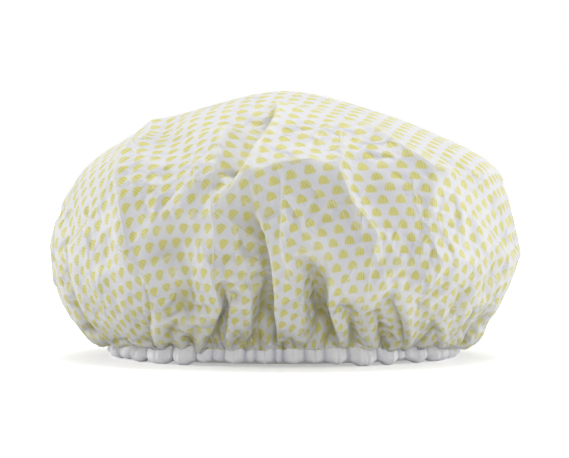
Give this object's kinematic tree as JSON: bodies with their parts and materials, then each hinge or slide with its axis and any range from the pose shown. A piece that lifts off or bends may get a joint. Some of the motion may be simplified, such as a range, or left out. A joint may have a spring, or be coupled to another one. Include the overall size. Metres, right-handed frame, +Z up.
{
  "type": "shower cap",
  "caption": "Gathered dome of spot-printed film with a waterproof lining, bound at the hem in a white strip that holds a loop of elastic, worn to keep hair dry",
  "frame": {"origin": "on the table under the middle of the cap, at the flat underside of the hem", "axes": "+X to one ear, -Y to the brow, +Z up to the crown"},
  "size_m": [0.2602, 0.2199, 0.15],
  "materials": {
    "printed_film": "soft satin film, bluish white with rows of small yellow spots",
    "lining_film": "milky, slightly see-through plastic film with a soft sheen",
    "binding_cloth": "plain white satin-like strip in close puffs",
    "elastic": "flat knitted elastic, off-white and matt",
    "thread": "white spun sewing thread"
  },
  "bodies": {
    "root": {"outer_shell": "printed_film", "waterproof_lining": "lining_film", "hem_binding": "binding_cloth", "elastic_band": "elastic", "hem_needle_thread": "thread", "hem_bobbin_thread": "thread", "elastic_join_thread": "thread", "binding_join_thread": "thread"}
  },
  "joints": []
}
